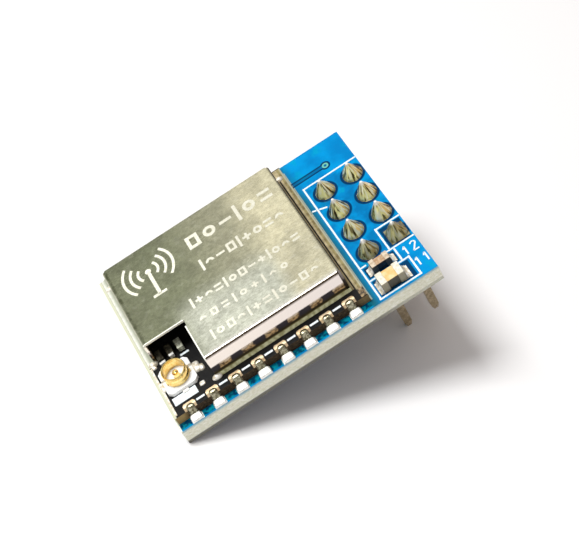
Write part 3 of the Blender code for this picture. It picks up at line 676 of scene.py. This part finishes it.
# A darker, greyer copy of the solder for the joints' columns and domes: painted shade.
SHADED_SOLDER = plain_metal("shaded_grey_solder", (0.44, 0.42, 0.31), (0.13, 0.115, 0.07), 0.34, 0.08, 4.0)
BRIGHT = plain_metal("bright_solder", (0.98, 0.97, 0.93), (0.8, 0.79, 0.73), 0.42, 0.08, 3.2, 0.6)
SHORE = left_solder()
CREAM = plain_metal("cream_solder", (0.97, 0.94, 0.86), (0.6, 0.52, 0.38), 0.42, 0.08, 3.2, 0.25)
PAD_GOLD = pad_gold()
TINNED = ground_strip()
PIN = plain_metal("pin_brass", (0.6, 0.5, 0.34), (0.42, 0.34, 0.22), 0.34)
WHITE = plain_solid("white_plastic", (0.97, 0.97, 0.95), (0.9, 0.9, 0.88), 0.42)
HEADER = plain_solid("black_plastic", (0.016, 0.016, 0.017), (0.028, 0.028, 0.03), 0.45)
SILK = plain_solid("white_print", (0.92, 0.96, 0.97), (0.74, 0.84, 0.88), 0.6, 6.0, 0.02)
ETCHED = etched_marks()
CHIP = plain_solid("chip_black", (0.02, 0.02, 0.02), (0.035, 0.035, 0.035), 0.5)
# Painted shade for the sides of the capacitors' bodies and ends.
TAN_SIDE_SHADE, BROWN_SIDE_SHADE = (0.07, 0.055, 0.025), (0.03, 0.02, 0.012)
TIN_SIDE_SHADE, DULL_SIDE_SHADE = (0.34, 0.3, 0.19), (0.1, 0.08, 0.05)
CERAMIC = plain_solid("tan_ceramic", (0.82, 0.66, 0.34), (0.78, 0.5, 0.17), 0.4, 2.2, side=TAN_SIDE_SHADE)
PALE_BROWN = plain_solid("brown_ceramic", (0.6, 0.42, 0.25), (0.42, 0.24, 0.12), 0.4, 4.0, side=BROWN_SIDE_SHADE)
GREY_CERAMIC = plain_solid("grey_ceramic", (0.02, 0.018, 0.012), (0.1, 0.09, 0.06), 0.6, 3.0, level=0.12)
OLIVE_CERAMIC = plain_solid("olive_ceramic", (0.3, 0.3, 0.22), (0.85, 0.88, 0.7), 0.5, 3.4)
TERMINAL = plain_solid("tinned_end", (0.86, 0.84, 0.74), (0.7, 0.66, 0.5), 0.36, 4.0, side=TIN_SIDE_SHADE)
TERMINAL_BROWN = plain_solid("browned_end", (0.74, 0.62, 0.47), (0.5, 0.38, 0.25), 0.4, 4.0, side=DULL_SIDE_SHADE)

wear(["carrier_board"], BLUE, None)
wear(["module_board"], BLACK, 30)
wear(["shield_can"], SHIELD, 30)
wear(["header_body"], HEADER, None)
wear([f"header_pin_{i}" for i in range(1, 9)], PIN, None)
wear(["socket_housing"], WHITE)
wear(["socket_outer_contact"], socket_gold(1.03))
wear(["socket_centre_contact"], socket_gold(0.27))
wear(["radio_chip", "antenna_switch"], CHIP)
wear(["crystal"], SOLDER)
wear(["matching_part_1", "matching_part_2"], GREY_CERAMIC)
wear(["matching_part_3"], OLIVE_CERAMIC)
wear(["near_capacitor_body"], CERAMIC)
wear(["far_capacitor_body"], PALE_BROWN)
ENDS = ("end_left", "end_right")
wear([f"near_capacitor_{end}" for end in ENDS], TERMINAL)
wear([f"far_capacitor_{end}" for end in ENDS], TERMINAL_BROWN)
FILLETS = ("fillet_left", "fillet_right")
wear([f"{side}_capacitor_{end}" for side in ("near", "far") for end in FILLETS], CREAM, 60)


# Solder


def cone(mesh, x, y, dice, square=False):
    """Solder drawn up a pin's tail: a hollow-sided cone with soft ridges."""
    around, up = 96, 18
    high = dice.uniform(1.36, 1.5)
    lean = (dice.uniform(-0.05, 0.05), dice.uniform(-0.05, 0.05))
    turn = dice.uniform(-0.2, 0.2) + math.pi / 4
    flutes = [(n, dice.uniform(0.6, 1.0) * 0.16 / n**0.5, dice.uniform(0, 6.3)) for n in (3, 5, 7)]
    loops = []
    for k in range(up + 1):
        t = k / up
        wide = 0.82 * (1 - t) ** 1.1 + 0.1 * t + 0.045 * math.sin(math.pi * t)
        ripple = math.sin(math.pi * min(1, t * 1.2)) ** 0.8
        loop = []
        for i in range(around):
            a = 2 * math.pi * i / around
            ridge = 0.17 * (abs(math.cos(2 * (a - turn))) ** 2 - 0.5)
            ridge += sum(size * math.cos(n * a + at) for n, size, at in flutes) * 0.55
            r = wide * (1 + ripple * ridge)
            if square:
                box = 1 / max(abs(math.cos(a)), abs(math.sin(a)))
                r *= 1 + (min(box, 1.12) - 1) * (1 - t) ** 0.6
            place = (x + lean[0] * t + r * math.cos(a), y + lean[1] * t + r * math.sin(a))
            loop.append((*place, 0.02 + high * t))
        loops.append(loop)
    mesh.loft(loops)


# Sections of a joint's solder: reach outward from the module's edge, half width and top height.
FOOT_SECTIONS = (
    (0.675, 0.44, 0.05),
    (0.67, 0.475, 0.14),
    (0.64, 0.49, 0.21),
    (0.56, 0.495, 0.25),
    (0.34, 0.495, 0.28),
    (0.16, 0.48, 0.3),
    (0.08, 0.45, 0.3),
    (0.03, 0.42, 0.2),
)
COLUMN_SECTIONS = (
    (0.06, 0.3, 0.3),
    (0.02, 0.325, 0.42),
    (-0.02, 0.325, 0.62),
    (-0.06, 0.325, 0.8),
    (-0.1, 0.325, 0.88),
)


def mound(mesh, x, side, sections, flatness, low):
    """Solder lofted across the module's edge through its sections."""
    loops = []
    for out, half, high in sections:
        loop = []
        for i in range(13):
            a = math.pi * i / 12
            across = math.copysign(abs(math.cos(a)) ** flatness, math.cos(a))
            lift = low + (high - low) * math.sin(a) ** flatness
            loop.append((x + half * across, side * (MODULE_Y + out), lift))
        loops.append(loop)
    mesh.loft(loops)


def foot(mesh, x, side, dice):
    """The flat-topped lump on the carrier's pad."""
    swell = dice.uniform(0.95, 1.05)
    high = dice.uniform(0.95, 1.08)
    sections = [(out, half * swell, lift * high) for out, half, lift in FOOT_SECTIONS]
    mound(mesh, x + dice.uniform(-0.03, 0.03), side, sections, 0.32, 0.006)


def riser(mesh, x, side, dice):
    """Solder standing in a half hole and spreading over the module's pad."""
    wide = dice.uniform(0.92, 1.05)
    mound(mesh, x, side, COLUMN_SECTIONS, 0.5, 0.1)
    spread = ((-0.04, 0.3, 0.84), (-0.1, 0.33, 0.92), (-0.22, 0.34 * wide, 0.97))
    spread += ((-0.36, 0.31 * wide, 0.97), (-0.48, 0.23 * wide, 0.93), (-0.55, 0.1, 0.86))
    mound(mesh, x, side, spread, 0.6, MODULE_TOP - 0.02)


dice = random.Random(7)
for number, (x, y) in enumerate(PINS, 1):
    drawn = Mesh()
    cone(drawn, x, y, dice, number == SQUARE_PIN)
    build(f"solder_cone_{number}", drawn, CONE, [f"header_solder_{number}"], 50)

for side, label in ((-1, "near"), (1, "far")):
    feet, columns = Mesh(), Mesh()
    for x in JOINT_X:
        foot(feet, x, side, dice)
        riser(columns, x, side, dice)
    stands = [f"castellation_solder_{label}_{i}" for i in range(1, 9)]
    build(f"joint_feet_{label}", feet, BRIGHT, stands, 50)
    build(f"joint_columns_{label}", columns, SHADED_SOLDER, stands, 50)

# Pads

pads, rings, lands = Mesh(), Mesh(), Mesh()
for side in (-1, 1):
    for x in JOINT_X:
        pads.box(x - 0.5, side * (MODULE_Y + 0.02), x + 0.5, side * (MODULE_Y + 0.68), LAND, LAND_TOP)
for y0, y1, spans in ((-8.18, -6.95, ((6.72, 7.3), (8.7, 9.4))), (-6.1, -5.3, ((6.75, 7.3), (8.6, 9.15)))):
    for x0, x1 in spans:
        lands.box(x0, y0, x1, y1, LAND, LAND_TOP)
build("capacitor_pads", lands, CREAM)
for number, (x, y) in enumerate(PINS, 1):
    if number == SQUARE_PIN:
        rings.box(x - 0.8, y - 0.8, x + 0.8, y + 0.8, LAND, RING_TOP)
    else:
        rings.disc(x, y, 0.83, LAND, RING_TOP)
build("carrier_landing_pads", pads, BRIGHT)
build("header_pads", rings, CONE)

gold = Mesh()
for side in (-1, 1):
    for x in JOINT_X:
        edge = side * MODULE_Y
        outline = [(x - 0.52, edge), (x - 0.52, edge - side * 0.58), (x - 0.4, edge - side * 0.73)]
        outline += [(x + 0.4, edge - side * 0.73), (x + 0.52, edge - side * 0.58), (x + 0.52, edge)]
        for i in range(13):
            a = math.pi * i / 12
            outline.append((x + 0.36 * math.cos(a), edge - side * 0.36 * math.sin(a)))
        gold.prism(outline, DECK, DECK_FILM)
build("module_gold_pads", gold, PAD_GOLD)

plating = Mesh()
for side in (-1, 1):
    for x in JOINT_X:
        start, end = (0, 180) if side < 0 else (180, 360)
        plating.band(x, side * MODULE_Y, 0.334, 0.349, start, end, 0.03, DECK)
build("half_hole_plating", plating, PAD_GOLD, (), 40)

# Ground strip and solder fillet round the shield's foot


# Corners of the shield's foot, from one side of the notch round to the other.
FOOT = ((NOTCH_X, -CAN_Y), (CAN_RIGHT, -CAN_Y), (CAN_RIGHT, CAN_Y), (CAN_LEFT, CAN_Y), (CAN_LEFT, NOTCH_Y))


def sweep(mesh, path, profile):
    """A profile of (outward, height) points carried along a path, mitred at its corners."""
    loops = []
    for i, (x, y) in enumerate(path):
        before = Vector(path[i]) - Vector(path[i - 1]) if i else None
        after = Vector(path[i + 1]) - Vector(path[i]) if i + 1 < len(path) else None
        sides = [Vector((d.y, -d.x)).normalized() for d in (before, after) if d]
        out = sum(sides, Vector((0, 0)))
        out = out / out.dot(sides[0]) if len(sides) == 2 else out
        loops.append([(x + out.x * o, y + out.y * o, h) for o, h in profile])
    mesh.loft(loops)


strip = Mesh()
profile = ((0.01, LOW), (0.19, LOW), (0.18, 0.04), (0.13, 0.1), (0.07, 0.17), (0.01, 0.23))
sweep(strip, FOOT, [(out, MODULE_TOP + lift) for out, lift in profile])
build("shield_foot_fillet", strip, TINNED, (), 60)

shore = Mesh()
outline = ((0.02, 0.3), (0.3, 0.13), (0.54, 0.03), (0.58, 0.002), (0.02, 0.002))
span = (NOTCH_Y - 0.2, MODULE_Y - 0.05)
shore.loft([[(CAN_LEFT - out, y, MODULE_TOP + lift) for out, lift in outline] for y in span])
build("left_ground_strip", shore, SHORE, (), 60)

right_edge = Mesh()
far_end = MODULE_Y - 0.1
right_edge.box(CAN_RIGHT + 0.3, -MODULE_Y + 0.05, MODULE_RIGHT - 0.01, far_end, DECK, MODULE_TOP + 0.03)
right_edge.box(CAN_RIGHT + 0.02, CAN_Y + 0.25, CAN_RIGHT + 0.3, far_end, DECK, MODULE_TOP + 0.03)
build("right_ground_strip", right_edge, TINNED)

beads = Mesh()
corners = ((NOTCH_X + 0.05, -CAN_Y - 0.12), (CAN_RIGHT + 0.2, CAN_Y + 0.1))
corners += ((CAN_LEFT - 0.15, CAN_Y + 0.1), (CAN_LEFT - 0.15, NOTCH_Y - 0.1))
turns = [math.pi * i / 8 for i in range(16)]
for x, y in corners:
    loops = []
    for k in range(7):
        t = k / 6
        r = 0.34 * math.cos(t * math.pi / 2.1)
        lift = MODULE_TOP + 0.03 + 0.26 * math.sin(t * math.pi / 2)
        loops.append([(x + 1.25 * r * math.cos(a), y + 0.8 * r * math.sin(a), lift) for a in turns])
    beads.loft(loops)
build("shield_corner_beads", beads, CREAM, (), 60)

# White print on the carrier

silk = Mesh()
HALF = 0.15 / 2
PRINT_LEFT, PRINT_END = 6.43, 11.27
PRINT_NEAR, PRINT_FAR = -8.43, 5.24
CORNER_X = 9.98
NEAR_Y, MIDDLE_Y, SQUARE_Y = -6.41, -4.86, -2.4
SQUARE_X = 9.13


def line_along(y, x0, x1):
    """A printed line along the board."""
    silk.box(x0, y - HALF, x1, y + HALF, LOW, FILM)


def line_across(x, y0, y1):
    """A printed line across the board."""
    silk.box(x - HALF, y0, x + HALF, y1, LOW, FILM)


line_across(PRINT_LEFT, PRINT_NEAR + HALF, PRINT_FAR + HALF)
line_along(PRINT_FAR, PRINT_LEFT + HALF, PRINT_END)
line_along(PRINT_NEAR, PRINT_LEFT - 0.1, CORNER_X + HALF)
line_across(CORNER_X, PRINT_NEAR + HALF, NEAR_Y + 0.1)
line_along(NEAR_Y, PRINT_LEFT + HALF, 7.14)
line_along(NEAR_Y, 8.98, CORNER_X - HALF)
line_across(9.43, NEAR_Y + 0.1, MIDDLE_Y - 0.1)
line_along(MIDDLE_Y, PRINT_LEFT + HALF, 7.0)
line_along(MIDDLE_Y, 8.62, PRINT_END)
line_across(SQUARE_X, MIDDLE_Y + 0.1, SQUARE_Y + 0.1)
line_along(SQUARE_Y, SQUARE_X + HALF, PRINT_END)
# A slanted stroke on either side of the left line.
silk.bar((6.54, 2.55), (7.18, 2.31), 0.16, LOW, FILM)
silk.bar((5.98, 2.74), (6.32, 2.62), 0.16, LOW, FILM)
build("carrier_print", silk, SILK)

DIGITS = {
    "1": ((0.1, 0.7), (0.32, 1.0), (0.32, 0.0)),
    "2": ((0.0, 0.85), (0.2, 1.0), (0.48, 1.0), (0.62, 0.8), (0.0, 0.0), (0.65, 0.0)),
}
DIGIT_WIDE, DIGIT_TALL, DIGIT_LINE = 0.72, 0.88, 0.13
figures = Mesh()
for text, x, y in (("12", 9.86, -6.2), ("11", 10.14, -7.72)):
    for k, figure in enumerate(text):
        points = [(x + (k + px) * DIGIT_WIDE, y + py * DIGIT_TALL) for px, py in DIGITS[figure]]
        for a, b in zip(points, points[1:]):
            figures.bar(a, b, DIGIT_LINE, LOW, FILM)
build("carrier_numerals", figures, SILK)

# White dashes between the module's pads

dashes = Mesh()
for side in (-1, 1):
    for left, right in zip(JOINT_X, JOINT_X[1:]):
        middle = (left + right) / 2
        dashes.box(middle - 0.36, side * 7.44, middle + 0.36, side * 7.63, DECK, DECK_FILM)
# A dash inside the notch, and a bar in front of the socket.
dashes.box(-8.45, -3.12, -7.7, -2.93, DECK, DECK_FILM)
dashes.box(-10.64, -7.02, -8.6, -6.24, DECK, DECK_FILM)
build("module_print", dashes, SILK)

# Solder round the antenna socket


def blob(mesh, x, y, wide, deep, tall):
    """A soft pillow of solder on the module."""
    loops = []
    for k in range(7):
        t = k / 6
        size = math.cos(t * math.pi / 2.08) ** 0.6
        lift = MODULE_TOP + 0.002 + tall * math.sin(t * math.pi / 2)
        rim = []
        for i in range(20):
            a = 2 * math.pi * i / 20
            across = math.copysign(abs(math.cos(a)) ** 0.5, math.cos(a))
            along = math.copysign(abs(math.sin(a)) ** 0.5, math.sin(a))
            rim.append((x + wide / 2 * size * across, y + deep / 2 * size * along, lift))
        loops.append(rim)
    mesh.loft(loops)


tabs = Mesh()
lumps = ((-7.82, -4.85, 0.62, 1.06, 0.24), (-7.5, -5.15, 0.46, 0.62, 0.2), (-10.8, -4.85, 0.36, 0.96, 0.22))
lumps += ((-10.62, -2.62, 0.4, 0.5, 0.14), (-8.05, -6.5, 0.46, 0.42, 0.1))
for x, y, wide, deep, tall in lumps:
    blob(tabs, x, y, wide, deep, tall)
tabs.box(-11.0, -7.8, -10.84, -2.6, DECK, DECK_FILM)
build("socket_solder", tabs, CREAM, (), 60)

ends = Mesh()
ends.box(-10.08, -3.08, -9.6, -2.87, MODULE_TOP + 0.002, MODULE_TOP + 0.42)
ends.box(-9.17, -2.97, -8.77, -2.75, MODULE_TOP + 0.2, MODULE_TOP + 0.545)
build("small_part_ends", ends, BRIGHT)

# Frosted marks on the shield: a mast with waves, and rows of plain shapes

marks = Mesh()
MARK_LOW, MARK_HIGH = CAN_TOP - 0.018, CAN_TOP + 0.006
MAST_X, MAST_Y = -7.2, 3.3
marks.bar((MAST_X, MAST_Y - 2.0), (MAST_X, MAST_Y + 0.4), 0.3, MARK_LOW, MARK_HIGH)
marks.bar((MAST_X - 0.6, MAST_Y - 2.0), (MAST_X + 0.6, MAST_Y - 2.0), 0.26, MARK_LOW, MARK_HIGH)
marks.disc(MAST_X, MAST_Y + 0.62, 0.26, MARK_LOW, MARK_HIGH)
for r in (0.85, 1.5, 2.15):
    for start in (-44, 136):
        marks.band(MAST_X, MAST_Y + 0.62, r - 0.12, r + 0.12, start, start + 88, MARK_LOW, MARK_HIGH)


def shape(kind, x, y, tall, thick):
    """One plain shape on the shield, its left edge at x; gives its width."""
    wide = tall * 0.6
    if kind == "ring":
        marks.band(x + wide / 2, y, wide / 2 - thick, wide / 2, 0, 359.9, MARK_LOW, MARK_HIGH)
    elif kind == "square":
        low, high = y - tall * 0.38, y + tall * 0.38
        for bottom in (low, high - thick):
            marks.box(x, bottom, x + wide, bottom + thick, MARK_LOW, MARK_HIGH)
        for left in (x, x + wide - thick):
            marks.box(left, low + thick, left + thick, high - thick, MARK_LOW, MARK_HIGH)
    elif kind == "pair":
        for bar in (y - tall * 0.2, y + tall * 0.2):
            marks.box(x, bar - thick / 2, x + wide, bar + thick / 2, MARK_LOW, MARK_HIGH)
    elif kind == "cross":
        marks.box(x, y - thick / 2, x + wide, y + thick / 2, MARK_LOW, MARK_HIGH)
        left, right = x + wide / 2 - thick / 2, x + wide / 2 + thick / 2
        marks.box(left, y + thick / 2, right, y + wide / 2, MARK_LOW, MARK_HIGH)
        marks.box(left, y - wide / 2, right, y - thick / 2, MARK_LOW, MARK_HIGH)
    elif kind == "arch":
        marks.band(x + wide / 2, y - tall * 0.1, wide / 2 - thick, wide / 2, 0, 180, MARK_LOW, MARK_HIGH)
    elif kind == "dash":
        marks.box(x, y - thick / 2, x + wide, y + thick / 2, MARK_LOW, MARK_HIGH)
    else:
        wide = thick
        marks.box(x, y - tall / 2, x + thick, y + tall / 2, MARK_LOW, MARK_HIGH)
    return wide


ROWS = (
    (4.05, -3.55, 4.1, 1.8, 0.3, "square ring dash bar ring pair"),
    (1.4, -3.5, 3.95, 1.25, 0.22, "bar arch dash square bar cross ring pair arch"),
    (-1.4, -5.65, 4.0, 1.1, 0.2, "bar cross arch pair bar ring square dash cross bar ring arch pair"),
    (-3.2, -5.7, 2.1, 1.0, 0.19, "arch square pair bar ring cross bar arch ring"),
    (-5.1, -5.5, 3.85, 1.1, 0.2, "bar ring square arch bar cross pair bar ring dash square arch"),
)
for middle, left, right, tall, thick, row in ROWS:
    kinds = row.split()
    widths = [thick if kind == "bar" else tall * 0.6 for kind in kinds]
    space = (right - left - sum(widths)) / (len(kinds) - 1)
    x = left
    for kind in kinds:
        x += shape(kind, x, middle, tall, thick) + space
build("shield_marks", marks, ETCHED)

# Floor, light and camera

floor_data = bpy.data.meshes.new("floor")
floor_data.from_pydata([(-2, -2, 0), (2, -2, 0), (2, 2, 0), (-2, 2, 0)], [], [(0, 1, 2, 3)])
floor = bpy.data.objects.new("floor", floor_data)
bpy.context.scene.collection.objects.link(floor)
floor_data.materials.append(Finish("paper", (0.92, 0.92, 0.92), 0.9, level=0.0).material)

# The world: cool and warm fill for matt surfaces, banded shine for glossy ones, white for the camera.
world = bpy.data.worlds.new("studio")
bpy.context.scene.world = world
world.use_nodes = True
sky = Nodes(world.node_tree)
sky.tree.nodes.clear()


def colour_ramp(value, stops):
    """Colours at their places from 0 to 1, blended between them."""
    made = sky.node("ShaderNodeValToRGB")
    ramp = made.color_ramp
    while len(ramp.elements) < len(stops):
        ramp.elements.new(0.5)
    for element, (place, colour) in zip(ramp.elements, stops):
        element.position = place
        element.color = (*colour, 1)
    sky.link(value, made.inputs[0])
    return made.outputs[0]


def background(colour, strength=1.0):
    """Light of this colour from all round."""
    made = sky.node("ShaderNodeBackground")
    sky.put(colour, made.inputs["Color"])
    sky.put(strength, made.inputs["Strength"])
    return made.outputs[0]


def choose(share, first, second):
    """The first light where share is 0, the second where it is 1."""
    made = sky.node("ShaderNodeMixShader")
    for value, target in zip((share, first, second), made.inputs):
        sky.link(value, target)
    return made.outputs[0]


BEHIND = (
    (0.0, (1.0, 1.0, 1.0)),
    (0.3, (0.75, 0.75, 0.72)),
    (0.56, (0.42, 0.43, 0.38)),
    (0.64, (0.66, 0.66, 0.6)),
    (0.71, (0.98, 0.95, 0.88)),
    (0.78, (0.5, 0.48, 0.42)),
    (0.88, (0.1, 0.1, 0.1)),
)
IN_FRONT = (
    (0.0, (0.95, 0.94, 0.9)),
    (0.3, (0.7, 0.7, 0.66)),
    (0.55, (0.52, 0.52, 0.48)),
    (1.0, (0.4, 0.4, 0.37)),
)
COOL, WARM = (0.39, 0.43, 0.47), (0.51, 0.42, 0.36)
direction = sky.node("ShaderNodeSeparateXYZ")
sky.link(sky.node("ShaderNodeTexCoord").outputs["Generated"], direction.inputs[0])
east, north, upward = direction.outputs
rear = sky.math("MULTIPLY_ADD", north, 2.0, 0.05)
rear = sky.math("MINIMUM", sky.most(rear, 0.0), 1.0)
shine = sky.blend(rear, colour_ramp(upward, IN_FRONT), colour_ramp(upward, BEHIND))
shade = sky.math("MULTIPLY_ADD", east, -1.3, 1.1)
shade = sky.math("MINIMUM", sky.most(shade, 0.45), 1.0)
warmth = sky.math("MULTIPLY_ADD", east, 0.5, 0.5)
ray = sky.node("ShaderNodeLightPath").outputs
seen = sky.most(ray["Is Camera Ray"], ray["Is Transmission Ray"])
light = choose(ray["Is Glossy Ray"], background(sky.blend(warmth, COOL, WARM)), background(shine, shade))
light = choose(seen, light, background((1.0, 1.0, 1.0)))
sky.link(light, sky.node("ShaderNodeOutputWorld").inputs[0])

LAMP_SIZE = 0.1
LAMP_POWER = 0.82
LAMP_DISTANCE = 0.3
lamp_data = bpy.data.lights.new("key", "AREA")
lamp_data.size = LAMP_SIZE
lamp_data.energy = LAMP_POWER
lamp = bpy.data.objects.new("key", lamp_data)
bpy.context.scene.collection.objects.link(lamp)
toward = Vector((-0.465, 0.15, 0.87)).normalized()
lamp.location = toward * LAMP_DISTANCE
lamp.rotation_euler = toward.to_track_quat("Z", "Y").to_euler()

# The camera as fitted to the photo.
eye = Vector((-0.04499, -0.09557, 0.1026))
forward = Vector((0.31868, 0.66424, -0.67619)).normalized()
right = Vector((0.90955, -0.41505, 0.02095)).normalized()
up = right.cross(forward)
camera_data = bpy.data.cameras.new("camera")
camera_data.lens = 115.24
camera_data.sensor_width = 36
camera_data.sensor_fit = "HORIZONTAL"
camera_data.clip_start = 0.005
camera = bpy.data.objects.new("camera", camera_data)
bpy.context.scene.collection.objects.link(camera)
camera.matrix_world = Matrix.Translation(eye) @ Matrix((right, up, -forward)).transposed().to_4x4()
bpy.context.scene.camera = camera
bpy.context.scene.view_settings.view_transform = "Standard"
